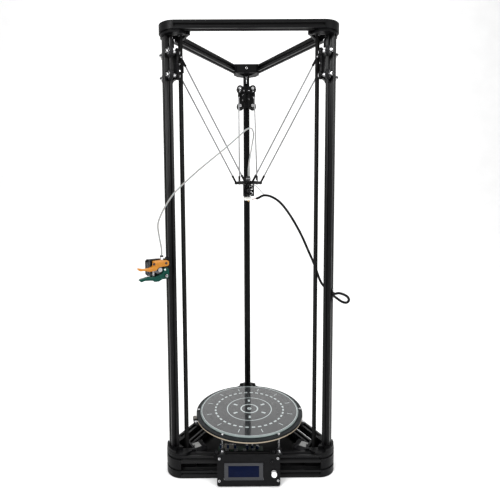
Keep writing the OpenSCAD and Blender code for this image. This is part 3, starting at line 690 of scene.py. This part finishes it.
def build_carriage(where, azimuth):
    kit = Kit()
    at = at_tower(azimuth) @ move(0, 0, CARRIAGE_Z)
    kit.prism(carriage_outline(), -21, -15, "anodised_plate", at @ OUTWARD, 0.6)
    for y in (-AXLE_Y, AXLE_Y):
        for z in (-AXLE_Z, AXLE_Z):
            axle = at @ move(0, y, z) @ OUTWARD
            kit.socket_screw(4.5, 3.4, "bright_steel", at @ move(-21, y, z) @ INWARD)
            kit.ring(2.5, 5, -21.3, -21, "bright_steel", axle, 32, 0.1)
            kit.rod(2.45, -16, 12.1, "dark_steel", axle, 24)
            kit.rod(4, -15.1, -5.45, "turned_steel", axle, 32)
            kit.nut(3.95, 4.6, 2.5, "bright_steel", axle @ move(0, 0, 6))
    kit.block((-30.5, -20, 11), (-20.5, 20, 21), "moulded_black", at, 0.8)
    for y in (-1, 1):
        stud = at @ move(BALL_X, 0, BALL_Z) @ (SIDEWAYS if y > 0 else BACKWARDS)
        kit.rod(1.5, 19, 27, "bright_steel", stud, 20)
        kit.nut(2.6, 1.6, 1.5, "bright_steel", stud @ move(0, 0, 20))
        kit.lathe(arc(0, 25, 2.6, -90, 90, 12), "bright_steel", stud, 24)
        for z in (19.4, -5):
            deep = -30.5 if z > 0 else -21
            kit.socket_screw(2.3, 1.8, "bright_steel", at @ move(deep, 7.2 * y, z - 2.4) @ INWARD)
    kit.block((-39, 2.6, -16), (-20.5, 6, 8), "moulded_black", at, 0.5)
    kit.block((-39, 8.4, -16), (-20.5, 11.8, 8), "moulded_black", at, 0.5)
    kit.block((-22.2, -3, -16), (-20.8, 12, 8), "moulded_black", at, 0.3)
    for z in (-12, 4):
        kit.socket_screw(2.2, 1.6, "bright_steel", at @ move(-27.5, 11.8, z) @ SIDEWAYS)
    name = "carriage_" + where
    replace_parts(kit.make(name + "_plate", name), name)


def build_wheel_bearings(where, azimuth):
    for number in (1, 2, 3, 4):
        y = AXLE_Y if number > 2 else -AXLE_Y
        z = -AXLE_Z if number % 2 else AXLE_Z
        at = at_tower(azimuth) @ move(0, y, CARRIAGE_Z + z)
        kit = Kit()
        for facing in (OUTWARD, INWARD):
            kit.ring(6.9, 7.9, 5, 5.22, "bright_steel", at @ facing, 48, 0.08)
            kit.ring(4.3, 6.9, 5, 5.14, "dark_steel", at @ facing, 48, 0.06)
        kit.make(f"bearings_{where}_{number}", f"wheel_{where}_{number}")


def build_arms():
    kit = Kit()
    run, rise = JOINT_X - EFFECTOR_X, JOINT_Z - EFFECTOR_Z
    reach, slope = math.hypot(run, rise), math.degrees(math.atan2(run, rise))
    cup = [(2.3, -2.3), (3.9, -2.3), (4.3, -1.9), (4.4, 0), (4.3, 1.9), (3.9, 2.3), (2.3, 2.3), (2.95, 1.2),
           (2.98, 0), (2.95, -1.2)]
    shank = [(2.2, 3.2), (3.0, 4.2), (2.7, 7), (2.9, 8), (2.9, 19), (3.2, 19.6), (3.2, 22.6), (2.2, 23.4)]
    for azimuth in TOWERS.values():
        for y in (-25, 25):
            at = turn(azimuth, "Z") @ move(EFFECTOR_X, y, EFFECTOR_Z) @ turn(slope, "Y")
            kit.rod(2, 20, reach - 20, "arm_grey", at, 24)
            for end in (at, at @ move(0, 0, reach) @ DOWN):
                kit.lathe(cup, "moulded_black", end @ BACKWARDS, 32, None, True)
                kit.lathe(shank, "moulded_black", end, 24)
    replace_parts(kit.make("arm_rods", "effector"), "arms")


for where, azimuth in TOWERS.items():
    build_carriage(where, azimuth)
    build_wheel_bearings(where, azimuth)
build_arms()


# ---- Effector and hot end

FAN_Z = 740


def build_effector_parts():
    kit = Kit()
    for azimuth in TOWERS.values():
        at = turn(azimuth, "Z")
        for y in (-8, 8):
            kit.socket_screw(2.3, 2, "bright_steel", at @ move(21, y, EFFECTOR_Z + 4))
        for y in (-1, 1):
            stud = at @ move(EFFECTOR_X, 0, EFFECTOR_Z) @ (SIDEWAYS if y > 0 else BACKWARDS)
            kit.nut(2.6, 1.8, 1.5, "bright_steel", stud @ move(0, 0, 19.9))
    for a in range(0, 360, 60):
        kit.socket_screw(1.7, 1.5, "dark_steel", turn(a + 30, "Z") @ move(12.5, 0, EFFECTOR_Z + 4))
    kit.ring(8.3, 10.6, EFFECTOR_Z + 4, EFFECTOR_Z + 5.4, "dark_steel", None, 48)
    kit.ring(2.1, 5.9, 768.4, 771.4, "dark_steel", None, 40)
    kit.make("effector_screws", "effector")

    kit = Kit()
    kit.ring(2.15, 5.7, 775.5, 779.8, "moulded_black", None, 40, 0.5)
    kit.lathe([(5.55, 771.5), (5.75, 772), (5.75, 775), (5.55, 775.5)], "turned_steel", None, 24, hexagon)
    kit.make("tube_coupler", "effector")


def build_heater():
    """The heater block under its tape: a soft-cornered block with lapped turns of tape, and the nozzle."""
    kit = Kit()
    loops = []
    bottom, height, levels = 713.4, 10.2, 22
    for i in range(levels):
        t = i / (levels - 1)
        z = bottom + height * t
        swell = 0.35 * math.sin(math.pi * t) - 0.9 * (abs(2 * t - 1) ** 6)
        lap = 0.22 * ((t * 3.0) % 1.0)
        loop = []
        for x, y in rounded(19.4 + 2 * (swell + lap), 15.4 + 2 * (swell + lap), 3, 6):
            wrinkle = 0.3 * noise.noise(Vector((x * 0.25, y * 0.25, z * 0.5)))
            loop.append((-1.5 + x * (1 + wrinkle / 9), y * (1 + wrinkle / 8), z))
        loops.append(loop)
    kit.stack(loops, "tape_white")
    kit.lathe([(3.4, 713.8), (3.4, 712.6), (3.2, 712.4)], "brass", None, 24, hexagon)
    kit.lathe([(2.9, 712.6), (2.7, 712), (0.8, 710.05), (0.5, 710)], "brass", None, 32)
    for y in (-1.2, 1.2):
        lead = [(6, y, 716), (9, y, 716.1), (13, y * 0.9, 716.8), (18, y * 0.8 - 0.3, 717.6),
                (22, y * 0.7 - 0.7, 718.3)]
        kit.tube(lead, 0.95, "lead_red", None, 10)
    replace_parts(kit.make("heater_wrap", "effector", 60), "heater_block")


def build_fan():
    at = move(0, 0, FAN_Z)
    kit = Kit()
    for x in (-1, 1):
        for z in (-1, 1):
            kit.socket_screw(1.7, 1.1, "dark_steel", at @ move(12 * x, -27, 12 * z) @ BACKWARDS)
    kit.ring(14.05, 14.6, -0.25, 0.4, "moulded_black", at @ move(0, -27, 0) @ SIDEWAYS, 64, 0.15)
    kit.make("fan_screws", "effector")

    kit = Kit()
    here = at @ move(0, -26.5, 0) @ SIDEWAYS
    kit.lathe([(5.6, 0), (6.2, 0.25), (6.5, 0.9), (6.5, 5.4), (6.2, 5.5)], "moulded_black", here, 48)
    kit.ring(2.6, 4.8, -0.05, 0.12, "dark_steel", here, 40, 0.05)
    rows, columns, blades, hub, blade_length = 5, 7, 7, 6.2, 6.9
    for blade in range(blades):
        start = math.tau * blade / blades
        points, faces = [], []
        for side in (0.3, -0.3):
            for i in range(columns):
                r = hub + blade_length * i / (columns - 1)
                for j in range(rows):
                    s = j / (rows - 1)
                    a = start + (0.62 + 0.1 * i / columns) * (s - 0.5) + 0.12 * (i / columns) ** 2
                    points.append((r * math.cos(a), r * math.sin(a), 0.7 + 4.2 * s ** 0.8 + side))
        half = rows * columns
        for i in range(columns - 1):
            for j in range(rows - 1):
                q = (i * rows + j, i * rows + j + 1, (i + 1) * rows + j + 1, (i + 1) * rows + j)
                faces += [q, tuple(half + k for k in reversed(q))]
        rim = ([i * rows for i in range(columns)] + [(columns - 1) * rows + j for j in range(1, rows)]
               + [i * rows + rows - 1 for i in range(columns - 2, -1, -1)] + list(range(rows - 2, 0, -1)))
        for k, a in enumerate(rim):
            b = rim[(k + 1) % len(rim)]
            faces.append((a, b, half + b, half + a))
        kit.add(points, faces, "moulded_black", here)
    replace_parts(kit.make("fan_wheel", "fan"), "fan_rotor")

    kit = Kit()
    route = [(14, -22, 752), (18, -21.5, 753.5), (24, -18, 750), (32, -11.5, 741), (39, -7, 733),
             (44, -5, 730)]
    line = smooth_line(route, 5)
    kit.tube(line, 0.75, "lead_black", None, 10)
    lead = kit.make("fan_lead", "effector")


build_effector_parts()
build_heater()
build_fan()


# ---- Bed

def build_bed():
    kit = Kit()
    face_radius, edge_radius, bottom, top = 139.7, 141, 104.02, 108
    kit.lathe([(face_radius, bottom), (face_radius, top)], "glass", None, 192)
    # The edge faces of the glass get a pale painted highlight.
    kit.ring(face_radius, edge_radius, bottom, top, "glass_edge_painted_glint", None, 192, 0.35)
    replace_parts(kit.make("glass_plate", "frame"), "bed_glass")

    kit = Kit()
    kit.ring(149, 153.15, 95.95, 99, "cream_edge", None, 192, 0.3)
    tab = turn(195, "Z")
    kit.block((155, -7, 103), (163.5, 7, 106.5), "connector_white", tab, 0.5)
    for y in (-4, 4):
        lead = [(157, y, 105), (161, y, 105.6), (163.4, y, 103), (163.2, y, 96), (160, y * 0.8, 88)]
        kit.tube(lead, 1.3, "lead_black", tab, 10)
    kit.make("bed_edge", "frame")

    kit = Kit()
    for a in range(0, 360, 60):
        at = turn(a, "Z") @ move(147, 0, 0)
        kit.socket_screw(2.95, 3.4, "bright_steel", at @ move(0, 0, 104))
        kit.spring(3.5, 0.4, 66, 95.5, 8, "dark_steel", at)
        kit.rod(5.4, 62.6, 66, "dark_steel", at, 48, 0.4, knurl(24, 0.06))
    for azimuth in SIDES.values():
        for y in (-73.5, 73.5):
            at = at_side(azimuth) @ move(0, y, 63)
            kit.socket_screw(4.3, 4, "bright_steel", at @ move(1, 0, 0))
            kit.block((-17.2, -7.2, -3), (7.2, 7.2, 0.15), "dark_steel", at, 0.5)
    kit.make("bed_screws", "frame")


build_bed()


# ---- Electronics and display

PANEL_X = -6.6
PANEL = move(PANEL_X, -174.6, 39.2) @ turn(80, "X")
# Places on the panel, from its middle.
BEZEL = (-12.4, -2.4)
KNOB = (63.2, -5.2)


def build_board():
    """The controller board on a dark base sheet, which stands in for the shade under the bed: driver sinks,
    terminals, plugs, chip and small parts.
    """
    kit = Kit()
    board_bottom, z, shade_plate_bottom, shade_plate_top = 24, 25.6, 2, 5
    kit.prism(rounded(124, 62, 2), board_bottom, z, "board_green", move(-26, -81, 0), 0.2)
    # A dark sheet across the whole base, as painted shade: it stands in for the shade on the floor under the
    # bed, and the board's standoffs stand on it.
    shade_plate = []
    for side in ("front", "right", "left"):
        for along in (-139.2, 139.2):
            shade_plate.append(tuple((turn(SIDES[side], "Z") @ Vector((126.9, along, 0)))[:2]))
    kit.prism(shade_plate, shade_plate_bottom, shade_plate_top, "panel_black", None, 0.3)
    for x in (-76, 24):
        for y in (-106, -56):
            kit.rod(2.5, shade_plate_top, board_bottom, "turned_steel", move(x, y, 0), 6)
            kit.socket_screw(2.6, 1.8, "bright_steel", move(x, y, z))
    for azimuth in SIDES.values():
        for y in (-110, 0, 110):
            kit.socket_screw(3.2, 2, "dark_steel", at_side(azimuth) @ move(-18, y, shade_plate_top))
    for x in (-70, -46, -22, 2):
        kit.block((x, -92, z), (x + 14, -74, z + 5), "moulded_black", None, 0.3)
        kit.block((x + 2.5, -88, z + 5), (x + 11.5, -78, z + 6.5), "motor_steel", None, 0.2)
        for i in range(5):
            fin = x + 2.6 + 1.9 * i
            kit.block((fin, -87.9, z + 6.5), (fin + 0.9, -78.1, z + 11), "motor_steel", None, 0.1)
    for i in range(7):
        plastic = "connector_white" if i % 3 else "board_blue"
        kit.block((-84 + 6.6 * i, -66, z), (-78 + 6.6 * i, -54, z + 10), plastic, None, 0.5)
        kit.rod(1.6, 0, 0.4, "bright_steel", move(-81 + 6.6 * i, -60, z + 9.8), 20)
    for i in range(9):
        kit.block((-84 + 7 * i, -110, z), (-78.4 + 7 * i, -102, z + 8), "connector_white", None, 0.4)
        for j in (0, 1):
            low, high = (-82.6 + 7 * i + 2 * j, -111, z + 2), (-82 + 7 * i + 2 * j, -104, z + 2.7)
            kit.block(low, high, "bright_steel", None, 0.1)
    kit.block((12, -100, z), (32, -80, z + 2.4), "moulded_black", None, 0.3)
    for x, y in ((-8, -62), (6, -62), (20, -64)):
        kit.rod(4, z, z + 9, "board_blue", move(x, y, 0), 32)
        kit.rod(3.6, z + 8.7, z + 9.3, "bright_steel", move(x, y, 0), 32)
    # Small parts in two loose rows; the remainders scatter them the same way each run.
    for i in range(40):
        x = -84 + (i * 37) % 116
        y = -72 + (i * 53) % 4 * 0.9 if i % 2 else -98 - (i * 29) % 4 * 0.9
        colour = "connector_white" if i % 3 else "dark_steel"
        kit.block((x, y, z), (x + 1.8, y + 0.9, z + 0.7), colour, None, 0.1)
    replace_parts(kit.make("control_electronics", "frame"), "controller_board")


def build_display():
    kit = Kit()
    here = PANEL @ move(BEZEL[0], BEZEL[1], 0)
    kit.block((-49, -30, -8.5), (49, 30, -6.9), "board_blue", here, 0.2)
    kit.block((-48.9, -20.4, -7), (48.9, 20.4, 0), "bezel_metal", here, 0.3)
    frame_loops = []
    outside = ((97.8, 40.8, 1.2, -1), (97.8, 40.8, 1.2, 0.9), (97, 40, 1.2, 1.5))
    inside = ((82, 30.5, 0.8, 1.5), (80.8, 29.3, 0.8, 1.3), (78.2, 27.4, 0.8, 0.3))
    for w, h, r, z in outside + inside:
        frame_loops.append([(x, y, z) for x, y in rounded(w, h, r, 3)])
    kit.stack(frame_loops, "bezel_metal", here)
    kit.block((-38.6, -13.3, 0.2), (38.6, 13.3, 0.62), "screen_blue", here, 0.2)
    for x in (-32, 0, 32):
        for y in (-1, 1):
            kit.block((x - 2, y * 20.2 - 1, -8.7), (x + 2, y * 20.2 + 1, -6.5), "bezel_metal", here, 0.2)
    kit.block((42, -30, -8.5), (68, 30, -6.9), "board_blue", PANEL, 0.2)
    for x in (-46.5, 46.5):
        for y in (-27.5, 27.5):
            kit.rod(2.5, -7, -3, "moulded_black", here @ move(x, y, 0), 6)
    sounder = PANEL @ move(60, 21, 0)
    kit.rod(5.4, -7, 1.3, "moulded_black", sounder, 40, 0.5)
    kit.ring(1, 1.7, 1.2, 1.5, "dark_steel", sounder, 24, 0.1)
    coder = PANEL @ move(KNOB[0], KNOB[1], 0)
    kit.block((-6, -6, -7), (6, 6, -3.4), "motor_steel", coder, 0.4)
    kit.ring(3.05, 3.9, -4, 1, "bright_steel", coder, 32, 0.2)
    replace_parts(kit.make("display_unit", "frame"), "display_module")

    kit = Kit()
    for x in (-73.5, 73.5):
        for y in (-23.5, 29.5):
            kit.socket_screw(3.1, 3.1, "bright_steel", PANEL @ move(x, y, 0), 0.25)
        kit.socket_screw(4.1, 4, "dark_steel", move(-14.6 + x, -138, 62.5))
        kit.rod(3.6, -177.6, -147.2, "dark_steel", move(PANEL_X + x, 0, 15.5) @ SIDEWAYS, 32)
    kit.make("display_screws", "frame")

    kit = Kit()
    at = PANEL @ move(KNOB[0], KNOB[1], 2.4)
    n = 72
    loops = [circle(r, z, n) for r, z in ((6.6, 0), (7, 0.4))]
    loops += [circle(7, z, n, knurl(24, 0.035)) for z in (0.8, 3, 6, 8.2)]
    crown = ((7, 8.6), (6.9, 9.6), (6.5, 10.4), (5.6, 10.9), (4.6, 11), (4.2, 10.7), (2, 10.45), (0.05, 10.4))
    loops += [circle(r, z, n) for r, z in crown]
    kit.stack(loops, "knob_white", at)
    kit.block((-0.4, 4.7, 10.8), (0.4, 6.3, 11.05), "dark_steel", at, 0.1)
    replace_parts(kit.make("knob_cap", "menu_knob"), "menu_knob")


build_board()
build_display()


# ---- Feeder

# Outlines as (distance outwards, height).
BODY_OUTLINE = [
    (15, 557), (15, 565), (18, 568), (36, 569.5), (53, 568.5), (54.5, 567.5), (53.5, 559), (56, 554.5),
    (64, 552), (78, 551.3), (91, 554), (92.5, 552.5), (91, 549), (87, 547), (75, 547), (65, 544),
    (48, 545), (44, 550), (38, 553.5), (20, 554),
]
LEVER_OUTLINE = [
    (15.5, 529), (15.5, 546), (18.5, 550), (26.5, 550.5), (30.5, 547), (29, 541), (33.5, 536), (40, 532.5),
    (47, 530.5), (57, 530), (68, 531.5), (76, 529.5), (87, 527.5), (90, 524), (85, 520), (78, 523),
    (57, 521.5), (54, 518.5), (42, 517.5), (38, 520.3), (28, 524), (18, 524),
]
# x away from the tower, y up, z towards the display. It mirrors, and make() puts the faces right.
FEED_PLANE = FEED_TOWER @ Matrix(((1, 0, 0, 0), (0, 0, 1, 0), (0, 1, 0, 0), (0, 0, 0, 1)))


def softened(outline, cut=0.28):
    """Cuts each corner into a short curve."""
    result, count = [], len(outline)
    for i in range(count):
        before, here, after = (Vector(outline[j % count]) for j in (i - 1, i, i + 1))
        a, b = here + (before - here) * cut, here + (after - here) * cut
        for t in (0, 0.33, 0.67, 1):
            result.append(tuple(a * (1 - t) ** 2 + here * (2 * t * (1 - t)) + b * t * t))
    return result


def build_feeder():
    kit = Kit()
    kit.prism(softened(BODY_OUTLINE), 15, 27, "orange_plastic", FEED_PLANE, 0.45)
    bump = [(30, 566), (30, 570.5), (34, 570.6), (37, 568)]
    kit.prism(softened(bump), 16.5, 25.5, "orange_plastic", FEED_PLANE, 0.3)
    for x in (-MOTOR_SCREW, MOTOR_SCREW):
        spot = FEED_PLANE @ move(FEED_OUT + x, FEED_Z + MOTOR_SCREW, 27)
        kit.ring(3.3, 4.3, -0.4, 0.3, "orange_plastic", spot, 32, 0.15)
        # The recess floor is painted dark red-brown: painted shade inside the screw hole.
        kit.rod(3.4, -0.4, 0.15, "painted_recess_shade", spot, 32, 0.1)
        kit.socket_screw(2.2, 0.9, "dark_steel", spot @ move(0, 0, -0.3))
    line = FEED_TOWER @ move(32, 21.3, 0)
    kit.lathe([(3.9, 568.6), (4.1, 569.2), (4.1, 574.4), (3.9, 575)], "bright_steel", line, 24,
              lambda a: hexagon(a) * 0.95)
    kit.rod(3.6, 575, 578, "bright_steel", line, 32)
    kit.ring(2.1, 4.6, 577.6, 581, "moulded_black", line, 40, 0.6)
    spring_line = FEED_PLANE @ move(53.5, 0, 21)
    kit.rod(1.5, -547, -533.8, "turned_steel", spring_line @ BACKWARDS, 16)
    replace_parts(kit.make("feeder_body", "frame"), "feed_body")

    kit = Kit()
    kit.spring(3.1, 0.6, -546.5, -530.9, 6, "bright_steel", spring_line @ BACKWARDS)
    spring = kit.make("feeder_spring", None)
    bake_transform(spring)

    kit = Kit()
    pivot = FEED_PLANE @ move(FEED_OUT - MOTOR_SCREW, FEED_Z - MOTOR_SCREW, 0)
    kit.prism(softened(LEVER_OUTLINE), 15.3, 18.9, "green_plastic", FEED_PLANE, 0.4)
    kit.prism(softened(LEVER_OUTLINE), 23.7, 27.3, "green_plastic", FEED_PLANE, 0.4)
    foot = [(15.5, 529), (15.5, 538), (24, 539), (31, 537.5)] + LEVER_OUTLINE[7:]
    kit.prism(softened(foot), 18.5, 24.1, "green_plastic", FEED_PLANE, 0.3)
    kit.ring(4.6, 5.8, 27.0, 27.45, "green_plastic", pivot, 40, 0.2)
    pinch = FEED_PLANE @ move(26, FEED_Z, 0)
    kit.rod(1.5, 16.2, 26.8, "bright_steel", pinch, 20)
    kit.ring(1.6, 2.6, 27.1, 27.5, "bright_steel", pinch, 24, 0.1)
    kit.nut(2.7, 2.4, 1.4, "bright_steel", FEED_PLANE @ move(49, 517.6, 21.3) @ turn(90, "X"))
    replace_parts(kit.make("feeder_lever", "feed_lever"), "feed_lever")

    kit = Kit()
    kit.socket_screw(3.6, 2.6, "turned_steel", pivot @ move(0, 0, 27.7))
    kit.rod(2.9, 14.2, 28, "turned_steel", pivot, 24)
    for z in (-17, 17):
        kit.socket_screw(3.2, 2.4, "bright_steel", FEED_TOWER @ move(13, 2, FEED_Z + z) @ OUTWARD)
    kit.make("feeder_screws", "frame")


def build_clamp():
    """The harness clamp on the right tower, and the strip that covers the wires in its slot."""
    kit = Kit()
    at = at_tower(TOWERS["right"])
    kit.prism([(8.6, -3.1), (9.9, -4.4), (9.9, 4.4), (8.6, 3.1)], 73, 462, "seal_rubber", at, 0.2)
    kit.block((10.05, -5.5, 461), (12, 5.5, 489), "moulded_black", at, 0.7)
    collar = at @ move(0, 0, 475) @ OUTWARD
    kit.ring(3.45, 5.4, 11.5, 16, "moulded_black", collar, 40, 0.5)
    kit.block((-0.9, 4.6, 12), (0.9, 7, 15.4), "moulded_black", collar, 0.3)
    for z in (465, 485.5):
        kit.socket_screw(2.3, 1.6, "bright_steel", at @ move(12, 0, z) @ OUTWARD)
    kit.make("harness_clamp", "frame")


build_feeder()
build_clamp()


# ---- Floor and light

def studio():
    """A white floor that curves up into a wall, white light from all round, and four lamps."""
    n = Nodes("floor_white")
    spot = n.place((1, 1, 1))
    n.set(Base_Color=n.mix(n.ramp(n.noise(spot, 6, 3), 0.3, 0.7), (0.9, 0.9, 0.9, 1), (0.93, 0.93, 0.93, 1)),
          Roughness=0.7)
    flat_end, bend, drop = 2.2, 1.6, -0.0005
    section = [(-9, drop), (flat_end, drop)] + arc(flat_end, bend, bend, -80, 0, 8) + [(flat_end + bend, 7)]
    points = [(x, y, z) for x in (-9, 9) for y, z in section]
    count = len(section)
    faces = [(i, i + 1, count + i + 1, count + i) for i in range(count - 1)]
    mesh = bpy.data.meshes.new("floor")
    mesh.from_pydata(points, [], faces)
    mesh.materials.append(n.material)
    mesh.shade_smooth()
    floor = bpy.data.objects.new("floor", mesh)
    bpy.context.scene.collection.objects.link(floor)

    world = bpy.data.worlds.new("studio")
    world.use_nodes = True
    world.node_tree.nodes["Background"].inputs["Color"].default_value = (1, 1, 1, 1)
    world.node_tree.nodes["Background"].inputs["Strength"].default_value = 0.68
    bpy.context.scene.world = world
    bpy.context.scene.view_settings.view_transform = "Standard"
    # Name, place, aim, size and power of each lamp.
    lamps = (
        ("key", (-1.6, -2.2, 2.3), (0, 0, 0.6), 1.0, 62),
        ("fill", (2.0, -1.9, 1.3), (0, 0, 0.5), 0.9, 26),
        ("top", (0.1, -0.2, 2.8), (0, 0, 0.3), 1.2, 34),
        ("wall", (0, 1.3, 3.6), (0, 3.8, 2.2), 2.0, 60),
    )
    for name, spot, aim, size, power in lamps:
        data = bpy.data.lights.new(name, "AREA")
        data.shape = "SQUARE"
        data.size = size
        data.energy = power
        lamp = bpy.data.objects.new(name, data)
        lamp.location = spot
        lamp.rotation_euler = (Vector(aim) - Vector(spot)).to_track_quat("-Z", "Y").to_euler()
        bpy.context.scene.collection.objects.link(lamp)


studio()
